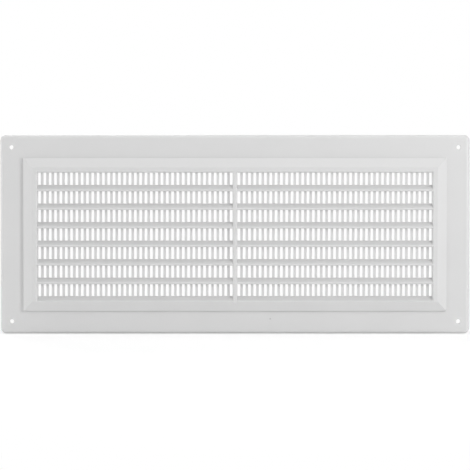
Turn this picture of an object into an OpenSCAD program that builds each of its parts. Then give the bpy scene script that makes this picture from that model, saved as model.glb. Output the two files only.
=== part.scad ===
// Fixed louvre vent register, moulded in one piece.
// It hangs upright on a wall: the wall is the plane y = 0, the front faces -y, and +z is up.
// The origin is the middle of the four-screw pattern, on the wall.
// Every module below works lying down, with x to the right, y up the wall and z away from the wall,
// and the last module stands the whole moulding up.

/* [Flange] */
// Width of the register across the flange
overall_w = 390; // [360:1:600]
// Height of the register across the flange
overall_h = 165; // [155:1:320]
// Radius of the flange's corners, seen from the front
corner_r = 4.5; // [3.5:0.5:9]
// Radius that rolls the flange's front face over into its rim
rim_r = 2.8; // [2.4:0.1:3.4]
// Distance from the wall to the flange's front face
flange_depth = 4; // [3.6:0.1:7]
// Thickness of the moulded shell
wall_t = 2; // [1.4:0.1:2.2]
// Flat flange beside the raised frame, at the two ends
flange_side_w = 19.5; // [16:0.1:26]
// Flat flange above and below the raised frame
flange_top_w = 19.1; // [16:0.1:22]

/* [Raised frame] */
// Step from the flange up to the foot of the bevel
step_h = 3; // [1.5:0.1:5]
// Width of the bevel, seen from the front
bevel_w = 7.8; // [6:0.1:9]
// Height that the bevel climbs
bevel_rise = 4; // [2:0.1:6]
// Border between the bevel and the first slots, seen from the front
land_w = 4.4; // [4.2:0.1:6]
// Radius on the border's inner edge
crest_r = 1.2; // [0.6:0.1:1.5]
// Draft of the faces that run away from the viewer, in degrees
draft = 5; // [1:0.5:7]

/* [Louvre] */
// Rows of slots that show between the blades
rows = 7; // [3:1:8]
// Clear height between two blades, seen from the front
slot_h = 10.1; // [6:0.1:11]
// Distance from the frame's crest back to the insect bars
louvre_depth = 5; // [4:0.1:6]
// Thickness of a louvre blade
blade_t = 1.8; // [1.2:0.1:2.2]
// Distance that the blades' noses stand behind the frame's crest
nose_set = 0.3; // [0.2:0.1:1]

/* [Insect bars] */
// Upright slots on each side of the mullion
slots_per_side = 37; // [12:1:42]
// Width of a slot between two insect bars
slot_w = 2.3; // [1:0.1:3]
// Thickness of the insect bars from front to back
bar_t = 2; // [1.2:0.1:2.6]
// Width of the upright mullion in the middle
mullion_w = 4.1; // [3.4:0.1:10]
// Radius on the mullion's front edges
mullion_r = 0.8; // [0.4:0.1:1.1]

/* [Screw holes] */
// Diameter of the screw holes
hole_d = 3.6; // [3:0.1:5]
// Distance from the ends of the flange to the holes' centres
hole_side_inset = 9.4; // [8:0.1:11]
// Distance from the flange's top and bottom edges to the holes' centres
hole_top_inset = 10.1; // [8:0.1:11]
// Wall of the round boss behind each hole
boss_wall = 2; // [1.2:0.1:2.4]

/* [Hidden] */
$fn = 24;

// Overrun of a cut past the face that it cuts
over = 1;

// Smallest radius inside the rim, where the shell is thicker than the rim's own radius
least_r = 0.3;

// Levels above the wall
crest_z = flange_depth + step_h + bevel_rise;
foot_z = flange_depth + step_h;
bar_z = crest_z - louvre_depth;
back_z = bar_z - bar_t;

// Raised frame and the louvred opening inside it
raised_w = overall_w - 2 * flange_side_w;
raised_h = overall_h - 2 * flange_top_w;
field_w = raised_w - 2 * (bevel_w + land_w);
field_h = raised_h - 2 * (bevel_w + land_w);

// Bevel: its slope, and the extra depth that a wall measured square to it takes
bevel_slope = bevel_rise / bevel_w;
bevel_stretch = norm([1, bevel_slope]);

// Blades: each runs from its root on the bars down to a rounded nose
blade_rise = (field_h - rows * slot_h) / (rows - 1);
row_pitch = slot_h + blade_rise;
nose_r = blade_t / 2;
nose_reach = crest_z - nose_set - nose_r - bar_z;
nose_drop = blade_rise - nose_r;
blade_angle = atan2(nose_drop, nose_reach) - asin(nose_r / norm([nose_reach, nose_drop]));
root_h = blade_t / cos(blade_angle);

// Insect bars
side_w = (field_w - mullion_w) / 2;
slot_pitch = (side_w - slot_w) / (slots_per_side - 1);

// The blades and the mullion end inside the walls of the opening, this far in
seat = 0.7 * wall_t;
mullion_z = crest_z - nose_set / 2;

// Screw pattern
hole_spacing_x = overall_w - 2 * hole_side_inset;
hole_spacing_y = overall_h - 2 * hole_top_inset;

// Sweeps a section along x, with the section's own x up the wall and its y away from the wall
module along_x(length) {
    rotate([90, 0, 90]) linear_extrude(length, center = true) children();
}

// Sweeps a section along y, with the section's own x to the right and its y away from the wall
module along_y(length) {
    rotate([90, 0, 0]) linear_extrude(length, center = true) children();
}

// Block w wide and h tall whose front outer edge is rounded to r
module rolled_edge(w, h, r) {
    difference() {
        square([w, h]);
        translate([w - r, h - r]) difference() {
            square(r + over);
            circle(r);
        }
    }
}

// Section of the flange's edge, measured outward from the axis of the corner's radius
module rim_section() {
    inner_r = max(rim_r - wall_t, least_r);
    difference() {
        rolled_edge(corner_r, flange_depth, rim_r);
        translate([0, -over]) rolled_edge(corner_r - wall_t, flange_depth - wall_t + over, inner_r);
    }
}

// Rim: the section swept along the four edges and turned round the four corners
module rim() {
    straight_w = overall_w - 2 * corner_r;
    straight_h = overall_h - 2 * corner_r;
    for (turn = [0, 180]) {
        rotate([0, 0, turn]) translate([straight_w / 2, 0, 0]) along_y(straight_h) rim_section();
        rotate([0, 0, turn]) translate([0, straight_h / 2, 0]) along_x(straight_w) rim_section();
        rotate([0, 0, turn]) translate([straight_w / 2, straight_h / 2, 0])
            rotate_extrude(angle = 90) rim_section();
        rotate([0, 0, turn]) translate([-straight_w / 2, straight_h / 2, 0])
            rotate([0, 0, 90]) rotate_extrude(angle = 90) rim_section();
    }
}

// Flat plate of the flange
module flange_plate() {
    translate([0, 0, flange_depth - wall_t])
        linear_extrude(wall_t)
            square([overall_w - 2 * corner_r, overall_h - 2 * corner_r], center = true);
}

// Section of the raised frame's outside, half of it on each side of the middle, moved in by inset
function bevel_outline(half, base, inset) =
    let (
        foot = foot_z + inset * (bevel_slope - bevel_stretch),
        run = (bevel_rise - inset + inset * bevel_stretch) / bevel_slope
    )
    [
        [-half + inset, base],
        [half - inset, base],
        [half - inset, foot],
        [half - run, crest_z - inset],
        [-half + run, crest_z - inset],
        [-half + inset, foot]
    ];

// Mitred block inside the bevels of all four sides, moved in by inset
module raised_block(base, inset) {
    intersection() {
        along_y(raised_h) polygon(bevel_outline(raised_w / 2, base, inset));
        along_x(raised_w) polygon(bevel_outline(raised_h / 2, base, inset));
    }
}

// Side-to-side section of the louvred opening, grown by grow, from base up to top
function opening_across(base, top, grow) =
    let (
        half = field_w / 2 + grow,
        flare = (top - bar_z) * tan(draft)
    )
    [[-half, base], [half, base], [half, bar_z], [half + flare, top], [-half - flare, top], [-half, bar_z]];

// Upright section of the louvred opening: its sill slopes like the blades
function opening_upright(base, top, grow) =
    let (
        head = field_h / 2 + grow,
        sill = -field_h / 2 - grow / cos(blade_angle),
        flare = (top - bar_z) * tan(draft),
        fall = (top - bar_z) * tan(blade_angle)
    )
    [[sill, base], [head, base], [head, bar_z], [head + flare, top], [sill - fall, top], [sill, bar_z]];

// Rounding between the crest and a drafted face that starts at x = face on the bars' front
module crest_rounding(face) {
    tangent_z = crest_z - crest_r * (1 - sin(draft));
    tangent_x = face + (tangent_z - bar_z) * tan(draft);
    centre_x = tangent_x + crest_r * cos(draft);
    difference() {
        polygon([
            [tangent_x, tangent_z],
            [centre_x, crest_z - crest_r],
            [centre_x, crest_z + over],
            [tangent_x, crest_z + over]
        ]);
        translate([centre_x, crest_z - crest_r]) circle(crest_r);
    }
}

// The opening through the frame, with its front edge rounded at the head and at both ends
module opening() {
    intersection() {
        along_y(raised_h) {
            polygon(opening_across(-over, crest_z + over, 0));
            crest_rounding(field_w / 2);
            mirror([1, 0]) crest_rounding(field_w / 2);
        }
        along_x(raised_w) {
            polygon(opening_upright(-over, crest_z + over, 0));
            crest_rounding(field_h / 2);
        }
    }
}

// The opening grown by grow, from the back of the bars forward
module opening_block(grow) {
    intersection() {
        along_y(raised_h) polygon(opening_across(back_z, crest_z + over, grow));
        along_x(raised_w) polygon(opening_upright(back_z, crest_z + over, grow));
    }
}

// Hollow behind the raised frame: it leaves the shell's wall all round, and the wall of the opening
module back_hollow() {
    difference() {
        raised_block(-over, wall_t);
        opening_block(wall_t);
    }
}

// Lower edge of a row, counted from the top: the upper edge of the root of the blade below it
function row_bottom(row) = field_h / 2 - slot_h - row * row_pitch;

// Insect bars: a plate behind the blades, slotted from the sill up to the head
module insect_bars() {
    translate([0, 0, back_z]) linear_extrude(bar_t) difference() {
        square([field_w + 2 * seat, field_h + 2 * seat], center = true);
        for (slot = [0 : slots_per_side - 1], start = [-field_w / 2, mullion_w / 2])
            translate([start + slot * slot_pitch, -field_h / 2]) square([slot_w, field_h]);
    }
}

// Section of a blade, with the top of its root at the section's origin height
module blade_section() {
    side = nose_r * [cos(blade_angle), sin(blade_angle)];
    nose = [-nose_drop, bar_z + nose_reach];
    polygon([[0, bar_z], nose + side, nose - side, [-root_h, bar_z]]);
    translate(nose) circle(nose_r);
}

// The blades, one under each row but the last
module blades() {
    for (row = [0 : rows - 2])
        translate([0, row_bottom(row), 0]) along_x(field_w + 2 * seat) blade_section();
}

// Section of the mullion, with drafted sides and rounded front edges
module mullion_section() {
    half = mullion_w / 2;
    tangent_z = mullion_z - mullion_r * (1 - sin(draft));
    tangent_x = half - (tangent_z - bar_z) * tan(draft);
    centre_x = tangent_x - mullion_r * cos(draft);
    polygon([
        [-half, back_z],
        [half, back_z],
        [half, bar_z],
        [tangent_x, tangent_z],
        [centre_x, mullion_z],
        [-centre_x, mullion_z],
        [-tangent_x, tangent_z],
        [-half, bar_z]
    ]);
    for (side = [-1, 1])
        translate([side * centre_x, mullion_z - mullion_r]) circle(mullion_r);
}

// The mullion, trimmed to end inside the head and the sill
module mullion() {
    intersection() {
        along_y(raised_h) mullion_section();
        along_x(raised_w) polygon(opening_upright(back_z, crest_z, seat));
    }
}

// Places its children at the four screw holes
module at_screw_holes() {
    for (x = [-1, 1], y = [-1, 1])
        translate([x * hole_spacing_x / 2, y * hole_spacing_y / 2, 0]) children();
}

// Boss behind each hole, down to the wall
module screw_bosses() {
    at_screw_holes() cylinder(h = flange_depth - wall_t / 2, d = hole_d + 2 * boss_wall);
}

// Through holes for the screws
module screw_holes() {
    at_screw_holes() translate([0, 0, -over]) cylinder(h = flange_depth + 2 * over, d = hole_d);
}

// Flange and raised frame, open in the middle
module frame_shell() {
    difference() {
        union() {
            rim();
            flange_plate();
            raised_block(flange_depth - wall_t, 0);
            screw_bosses();
        }
        back_hollow();
        opening();
        screw_holes();
    }
}

// The whole moulding, stood up against the wall
module vent_grille() {
    color("gainsboro") rotate([90, 0, 0]) {
        frame_shell();
        insect_bars();
        blades();
        mullion();
    }
}

vent_grille();
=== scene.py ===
"""Looks of a fixed louvre vent register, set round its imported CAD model.

The register is one plastic moulding, so the scene dresses the CAD node where it is and adds a
studio: a pale floor, a white backdrop, soft lamps and the camera of the reference view.
Lengths are in metres, in the frame of the model: +X to the right, +Y into the wall, +Z up.
"""

import logging
import math
from dataclasses import dataclass, field
from enum import Enum

import bmesh
import bpy
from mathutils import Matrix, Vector


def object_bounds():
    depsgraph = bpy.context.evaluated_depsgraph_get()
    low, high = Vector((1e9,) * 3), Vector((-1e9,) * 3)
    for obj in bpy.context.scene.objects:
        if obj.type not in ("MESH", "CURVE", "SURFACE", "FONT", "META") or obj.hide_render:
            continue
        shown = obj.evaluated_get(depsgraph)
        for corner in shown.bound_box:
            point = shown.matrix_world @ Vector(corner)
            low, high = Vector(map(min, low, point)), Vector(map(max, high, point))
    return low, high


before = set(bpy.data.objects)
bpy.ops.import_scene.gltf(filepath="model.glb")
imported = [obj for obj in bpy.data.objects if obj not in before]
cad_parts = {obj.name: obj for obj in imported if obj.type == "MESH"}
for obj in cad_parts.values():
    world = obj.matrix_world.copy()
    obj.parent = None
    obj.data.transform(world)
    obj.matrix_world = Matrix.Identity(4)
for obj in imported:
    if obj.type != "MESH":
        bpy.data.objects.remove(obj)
CAD_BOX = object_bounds()

GRILLE = "vent_grille"
LOG = logging.getLogger("register")

Shade = tuple[float, float, float]


class Ray(Enum):
    """Kinds of ray that see the white studio, by the names of Light Path's outputs."""

    CAMERA = "Is Camera Ray"
    GLOSSY = "Is Glossy Ray"
    TRANSMISSION = "Is Transmission Ray"


@dataclass
class NodeSheet:
    """A node tree that is being filled.

    Args:
        tree: the node tree of a material or of the world.
    """

    tree: bpy.types.NodeTree

    def add(self, kind: str, **settings: object) -> bpy.types.Node:
        """Adds a node.

        Args:
            kind: the node's class name.
            settings: attributes of the node, or values of its inputs by name.

        Returns:
            The new node.
        """
        node = self.tree.nodes.new(kind)
        for name, value in settings.items():
            if hasattr(node, name):
                setattr(node, name, value)
            else:
                node.inputs[name.replace("_", " ")].default_value = value
        return node

    def wire(self, source: bpy.types.NodeSocket, target: bpy.types.NodeSocket) -> None:
        """Links one socket to another."""
        self.tree.links.new(source, target)

    def number(self, operation: str, *values: object) -> bpy.types.NodeSocket:
        """Works out a number from sockets or constants.

        Args:
            operation: the Math node's operation.
            values: one entry for each input, a socket or a number.

        Returns:
            The socket that holds the result.
        """
        node = self.add("ShaderNodeMath", operation=operation)
        for slot, value in enumerate(values):
            if isinstance(value, bpy.types.NodeSocket):
                self.wire(value, node.inputs[slot])
            else:
                node.inputs[slot].default_value = value
        return node.outputs[0]

    def spread(
        self, source: bpy.types.NodeSocket, span: tuple[float, float], result: tuple[float, float]
    ) -> bpy.types.NodeSocket:
        """Maps a number from one span to another, and holds it at the ends.

        Args:
            source: the number's socket.
            span: the source's lowest and highest value.
            result: what those two become.

        Returns:
            The socket that holds the result.
        """
        node = self.add("ShaderNodeMapRange")
        self.wire(source, node.inputs["Value"])
        for name, value in zip(("From Min", "From Max", "To Min", "To Max"), (*span, *result)):
            node.inputs[name].default_value = value
        return node.outputs["Result"]

    def noise(self, place: bpy.types.NodeSocket, size: float, detail: float) -> bpy.types.NodeSocket:
        """Adds noise.

        Args:
            place: the socket that gives the point.
            size: the size of the noise's coarsest features, in metres.
            detail: the number of finer layers.

        Returns:
            The noise's value, from 0 to 1.
        """
        node = self.add("ShaderNodeTexNoise", Scale=1.0 / size, Detail=detail)
        self.wire(place, node.inputs["Vector"])
        return node.outputs["Fac"]

    def blend(
        self, share: bpy.types.NodeSocket, first: object, second: Shade
    ) -> bpy.types.NodeSocket:
        """Mixes two colours.

        Args:
            share: the second colour's share.
            first: a colour or a colour's socket.
            second: a colour.

        Returns:
            The socket that holds the mixed colour.
        """
        node = self.add("ShaderNodeMix", data_type="RGBA")
        self.wire(share, node.inputs[0])
        if isinstance(first, bpy.types.NodeSocket):
            self.wire(first, node.inputs[6])
        else:
            node.inputs[6].default_value = (*first, 1.0)
        node.inputs[7].default_value = (*second, 1.0)
        return node.outputs[2]

    def gap(
        self, place: bpy.types.NodeSocket, point: tuple[float, float, float]
    ) -> bpy.types.NodeSocket:
        """Measures how far a place is from a point.

        Args:
            place: the socket that gives the place.
            point: the point.

        Returns:
            The distance's socket, in metres.
        """
        node = self.add("ShaderNodeVectorMath", operation="DISTANCE")
        self.wire(place, node.inputs[0])
        node.inputs[1].default_value = point
        return node.outputs["Value"]

    def bump(
        self, height: bpy.types.NodeSocket, depth: float, under: bpy.types.NodeSocket | None
    ) -> bpy.types.NodeSocket:
        """Turns a height into a bumped normal.

        Args:
            height: the height's socket, from 0 to 1.
            depth: the height of 1 in metres.
            under: the normal that this bump lies on, if any.

        Returns:
            The normal's socket.
        """
        node = self.add("ShaderNodeBump", Distance=depth)
        self.wire(height, node.inputs["Height"])
        if under is not None:
            self.wire(under, node.inputs["Normal"])
        return node.outputs["Normal"]

    def seen_by_viewer(self) -> bpy.types.NodeSocket:
        """Gives a socket that is 1 for rays from the camera, also by way of gloss or glass."""
        path = self.add("ShaderNodeLightPath")
        total = path.outputs[Ray.CAMERA.value]
        for ray in (Ray.GLOSSY, Ray.TRANSMISSION):
            total = self.number("MAXIMUM", total, path.outputs[ray.value])
        return total


@dataclass(frozen=True)
class Speck:
    """A small dark spot in the flange's front face, below the louvre.

    Args:
        place: the speck's middle.
        core: radius of its dark middle.
        edge: radius at which it has faded out.
        shade: its colour.
    """

    place: tuple[float, float, float] = (0.0293, -0.0040, -0.0702)
    core: float = 0.0004
    edge: float = 0.0009
    shade: Shade = (0.52, 0.52, 0.52)


@dataclass(frozen=True)
class MouldedPlastic:
    """White satin plastic as it comes from the mould.

    Args:
        name: the material's name.
        shade: the plastic's colour.
        deep_shade: the colour where the pigment lies a little thicker.
        cloud: size of the pigment's clouds.
        cloud_layers: layers of finer noise in those clouds.
        cloud_span: the stretch of the noise over which the colour turns from one to the other.
        grain: size of the texture that the mould's steel leaves.
        grain_layers: layers of finer noise in that texture.
        grain_depth: height of that texture.
        ripple: size of the slow ripples left by shrinkage.
        ripple_layers: layers of finer noise in those ripples.
        ripple_depth: height of those ripples.
        roughness: lowest and highest roughness.
        polish_share: the grain's share in the roughness; the rest follows the clouds.
        polish_span: the stretch of that mixture over which the roughness changes.
        ior: index of refraction.
        speck: the small dark spot in the flange.
    """

    name: str = "moulded_plastic"
    shade: Shade = (0.706, 0.706, 0.706)
    deep_shade: Shade = (0.694, 0.694, 0.694)
    cloud: float = 0.035
    cloud_layers: float = 4.0
    cloud_span: tuple[float, float] = (0.35, 0.65)
    grain: float = 0.0005
    grain_layers: float = 2.0
    grain_depth: float = 0.000006
    ripple: float = 0.022
    ripple_layers: float = 1.0
    ripple_depth: float = 0.00010
    roughness: tuple[float, float] = (0.31, 0.39)
    polish_share: float = 0.5
    polish_span: tuple[float, float] = (0.2, 0.8)
    ior: float = 1.5
    speck: Speck = field(default_factory=Speck)

    def material(self) -> bpy.types.Material:
        """Builds the material.

        Returns:
            The material, with colour, roughness and bump from object coordinates.
        """
        made = bpy.data.materials.new(self.name)
        made.use_nodes = True
        sheet = NodeSheet(made.node_tree)
        shader = made.node_tree.nodes["Principled BSDF"]
        shader.inputs["IOR"].default_value = self.ior
        place = sheet.add("ShaderNodeTexCoord").outputs["Object"]
        haze = sheet.noise(place, self.cloud, self.cloud_layers)
        clouds = sheet.spread(haze, self.cloud_span, (0.0, 1.0))
        colour = sheet.blend(clouds, self.shade, self.deep_shade)
        # Darkens the base colour in a small round spot on the flange.
        colour = sheet.blend(self.speck_mask(sheet, place), colour, self.speck.shade)
        sheet.wire(colour, shader.inputs["Base Color"])
        grain = sheet.noise(place, self.grain, self.grain_layers)
        cloud_part = sheet.number("MULTIPLY", clouds, 1.0 - self.polish_share)
        polish = sheet.number("MULTIPLY_ADD", grain, self.polish_share, cloud_part)
        roughness = sheet.spread(polish, self.polish_span, self.roughness)
        sheet.wire(roughness, shader.inputs["Roughness"])
        ripples = sheet.noise(place, self.ripple, self.ripple_layers)
        waved = sheet.bump(ripples, self.ripple_depth, None)
        sheet.wire(sheet.bump(grain, self.grain_depth, waved), shader.inputs["Normal"])
        return made

    def speck_mask(
        self, sheet: NodeSheet, place: bpy.types.NodeSocket
    ) -> bpy.types.NodeSocket:
        """Marks the speck.

        Args:
            sheet: the material's node tree.
            place: the socket that gives the point.

        Returns:
            A socket that is 1 in the speck and 0 off it.
        """
        gap = sheet.gap(place, self.speck.place)
        return sheet.spread(gap, (self.speck.core, self.speck.edge), (1.0, 0.0))


@dataclass
class Register:
    """The moulding, dressed where the CAD puts it."""

    finish: MouldedPlastic = field(default_factory=MouldedPlastic)

    def build(self) -> list[bpy.types.Object]:
        """Dresses the CAD node.

        Returns:
            The objects that show.
        """
        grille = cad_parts[GRILLE]
        plastic = self.finish.material()
        for slot in grille.material_slots:
            slot.material = plastic
        return [grille]


@dataclass
class Lamp:
    """A soft rectangular lamp that faces the register.

    Args:
        name: the lamp's name.
        place: where it hangs.
        size: its width and height.
        power: its power in watts.
    """

    name: str
    place: tuple[float, float, float]
    size: tuple[float, float]
    power: float

    def build(self) -> bpy.types.Object:
        """Hangs the lamp.

        Returns:
            The lamp's object.
        """
        data = bpy.data.lights.new(self.name, "AREA")
        data.shape = "RECTANGLE"
        data.size, data.size_y = self.size
        data.energy = self.power
        lamp = bpy.data.objects.new(self.name, data)
        bpy.context.scene.collection.objects.link(lamp)
        lamp.location = self.place
        lamp.rotation_euler = (-Vector(self.place)).to_track_quat("-Z", "Y").to_euler()
        return lamp


def studio_lamps() -> list[Lamp]:
    """Lists the lamps: the key from the right, wide ones at both sides, above and behind."""
    return [
        Lamp("front_right_lamp", (0.9, -1.1, 0.35), (0.7, 0.7), 8.1),
        Lamp("front_left_lamp", (-0.9, -1.1, 0.35), (0.7, 0.7), 1.6),
        Lamp("far_left_lamp", (-1.4, -0.12, 0.10), (0.5, 0.8), 5.8),
        Lamp("far_right_lamp", (1.4, -0.12, 0.10), (0.5, 0.8), 1.0),
        Lamp("top_lamp", (0.0, -0.12, 1.2), (1.4, 0.5), 4.5),
        Lamp("back_lamp", (-0.5, 1.5, 0.9), (0.9, 0.9), 8.0),
    ]


@dataclass
class Studio:
    """Pale floor, white backdrop, lamps and an even fill all round.

    Args:
        floor_size: side of the floor.
        floor_shade: the floor's colour.
        floor_roughness: the floor's roughness.
        floor_glow: what the floor adds of its own near the register, where the camera looks.
            With the lamps' light it makes white, so the register's shadow still shows.
        floor_fade: the distances from the register between which the floor turns plain white.
        fill: strength of the even light from all round.
        lamps: the lamps.
    """

    floor_size: float = 8.0
    floor_shade: float = 0.9
    floor_roughness: float = 0.9
    floor_glow: float = 0.22
    floor_fade: tuple[float, float] = (0.3, 0.8)
    fill: float = 0.4
    lamps: list[Lamp] = field(default_factory=studio_lamps)

    def floor_material(self) -> bpy.types.Material:
        """Builds the floor's finish.

        Returns:
            A pale, matt material round the register, and plain white farther off.
        """
        made = bpy.data.materials.new("studio_floor")
        made.use_nodes = True
        sheet = NodeSheet(made.node_tree)
        shader = made.node_tree.nodes["Principled BSDF"]
        shade = self.floor_shade
        shader.inputs["Base Color"].default_value = (shade, shade, shade, 1.0)
        shader.inputs["Roughness"].default_value = self.floor_roughness
        shader.inputs["Specular IOR Level"].default_value = 0.0
        shader.inputs["Emission Color"].default_value = (1.0, 1.0, 1.0, 1.0)
        seen = sheet.seen_by_viewer()
        glow = sheet.number("MULTIPLY", seen, self.floor_glow)
        sheet.wire(glow, shader.inputs["Emission Strength"])
        place = sheet.add("ShaderNodeTexCoord").outputs["Object"]
        far = sheet.spread(sheet.gap(place, (0.0, 0.0, 0.0)), self.floor_fade, (0.0, 1.0))
        white = sheet.add("ShaderNodeEmission", Strength=1.0)
        joined = sheet.add("ShaderNodeMixShader")
        sheet.wire(sheet.number("MULTIPLY", seen, far), joined.inputs[0])
        sheet.wire(shader.outputs["BSDF"], joined.inputs[1])
        sheet.wire(white.outputs["Emission"], joined.inputs[2])
        output = made.node_tree.nodes["Material Output"]
        sheet.wire(joined.outputs["Shader"], output.inputs["Surface"])
        return made

    def build(self) -> list[bpy.types.Object]:
        """Sets the studio up.

        Returns:
            The floor, which isn't part of the register.
        """
        shape = bmesh.new()
        bmesh.ops.create_grid(shape, x_segments=1, y_segments=1, size=self.floor_size / 2)
        bmesh.ops.translate(shape, vec=(0.0, 0.0, CAD_BOX[0].z), verts=shape.verts)
        mesh = bpy.data.meshes.new("studio_floor")
        shape.to_mesh(mesh)
        shape.free()
        mesh.materials.append(self.floor_material())
        floor = bpy.data.objects.new("studio_floor", mesh)
        bpy.context.scene.collection.objects.link(floor)
        for lamp in self.lamps:
            lamp.build()
        self.build_world()
        return [floor]

    def build_world(self) -> None:
        """Fills the world: even light on the register, and white where the camera looks."""
        world = bpy.data.worlds.new("studio")
        bpy.context.scene.world = world
        world.use_nodes = True
        sheet = NodeSheet(world.node_tree)
        background = world.node_tree.nodes["Background"]
        background.inputs["Color"].default_value = (1.0, 1.0, 1.0, 1.0)
        level = sheet.number("MAXIMUM", sheet.seen_by_viewer(), self.fill)
        sheet.wire(level, background.inputs["Strength"])


@dataclass
class ViewPoint:
    """The camera of the reference view.

    Args:
        elevation: how far it looks down, in degrees.
        distance: how far it stands from its target.
        lens: focal length in millimetres.
        sensor: width of its sensor in millimetres.
        clip: the nearest and the farthest distance that it sees.
        target: the point that it looks at.
    """

    elevation: float = 1.6
    distance: float = 1.8
    lens: float = 165.6
    sensor: float = 36.0
    clip: tuple[float, float] = (0.05, 50.0)
    target: tuple[float, float, float] = (0.0, 0.0, -0.0006)

    def build(self) -> bpy.types.Object:
        """Sets the camera up.

        Returns:
            The camera's object.
        """
        data = bpy.data.cameras.new("camera")
        data.lens = self.lens
        data.sensor_width = self.sensor
        data.clip_start, data.clip_end = self.clip
        camera = bpy.data.objects.new("camera", data)
        bpy.context.scene.collection.objects.link(camera)
        tilt = math.radians(self.elevation)
        back = Vector((0.0, -math.cos(tilt), math.sin(tilt)))
        camera.location = Vector(self.target) + self.distance * back
        camera.rotation_euler = (-back).to_track_quat("-Z", "Y").to_euler()
        bpy.context.scene.camera = camera
        return camera


def main() -> None:
    """Builds the scene in order and reports each piece."""
    logging.basicConfig(level=logging.INFO, format="%(name)s: %(message)s")
    bpy.context.scene.view_settings.view_transform = "Standard"
    for maker in (Register(), Studio()):
        for piece in maker.build():
            LOG.info("%s: %d faces", piece.name, len(piece.data.polygons))
    ViewPoint().build()


if __name__ == "__main__":
    main()
